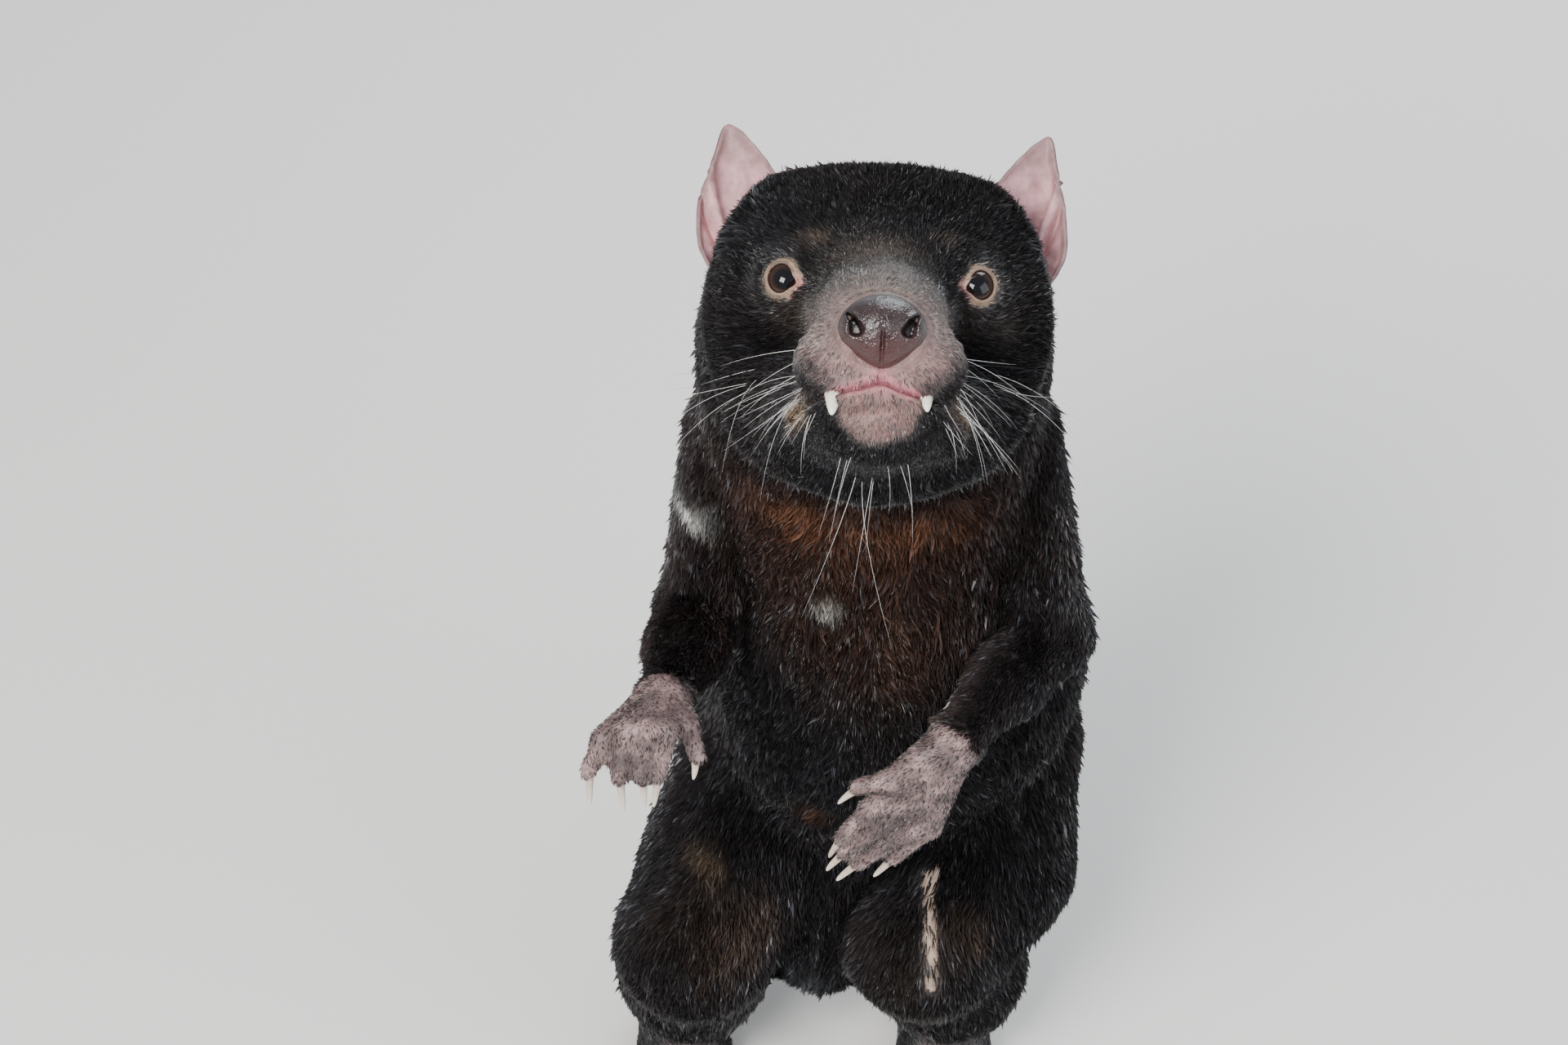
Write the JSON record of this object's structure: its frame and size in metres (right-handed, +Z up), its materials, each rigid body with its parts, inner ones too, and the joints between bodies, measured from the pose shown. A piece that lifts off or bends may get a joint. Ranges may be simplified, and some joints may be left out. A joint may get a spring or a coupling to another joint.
{
  "type": "tasmanian devil",
  "caption": "Life-size still model of a tasmanian devil standing upright on its hind legs, hands hanging in front, muzzle raised.",
  "frame": {"origin": "on the floor, at the middle of the model's box seen from above", "axes": "+Z up; -Y is the way the animal faces; +X is the animal's left side"},
  "size_m": [0.2112, 0.4016, 0.5381],
  "materials": {
    "coat": "short glossy near-black fur, with a russet band and a few white spots on the chest",
    "bare_skin": "wrinkled pinkish skin with sparse dark hair",
    "ear_skin": "thin bare pink skin",
    "nose_pad": "wet pebbled dark brown skin",
    "eye": "wet dark brown eye",
    "claw": "semi-gloss ivory horn",
    "tooth": "glossy ivory enamel"
  },
  "bodies": {
    "root": {"claw_l_1": "claw", "claw_l_2": "claw", "claw_l_3": "claw", "claw_l_4": "claw", "claw_l_5": "claw", "claw_r_1": "claw", "claw_r_2": "claw", "claw_r_3": "claw", "claw_r_4": "claw", "claw_r_5": "claw", "ear_l": "ear_skin", "ear_r": "ear_skin", "eye_l": "eye", "eye_r": "eye", "forearm_l": "coat", "forearm_r": "coat", "hand_l": "bare_skin", "hand_r": "bare_skin", "head": "coat", "hind_foot_l": "bare_skin", "hind_foot_r": "bare_skin", "neck": "coat", "nose": "nose_pad", "shank_l": "coat", "shank_r": "coat", "tail_base": "coat", "tail_end": "coat", "thigh_l": "coat", "thigh_r": "coat", "toe_claw_l_1": "claw", "toe_claw_l_2": "claw", "toe_claw_l_3": "claw", "toe_claw_l_4": "claw", "toe_claw_r_1": "claw", "toe_claw_r_2": "claw", "toe_claw_r_3": "claw", "toe_claw_r_4": "claw", "tooth_l": "tooth", "tooth_r": "tooth", "torso": "coat", "upper_arm_l": "coat", "upper_arm_r": "coat"}
  },
  "joints": []
}
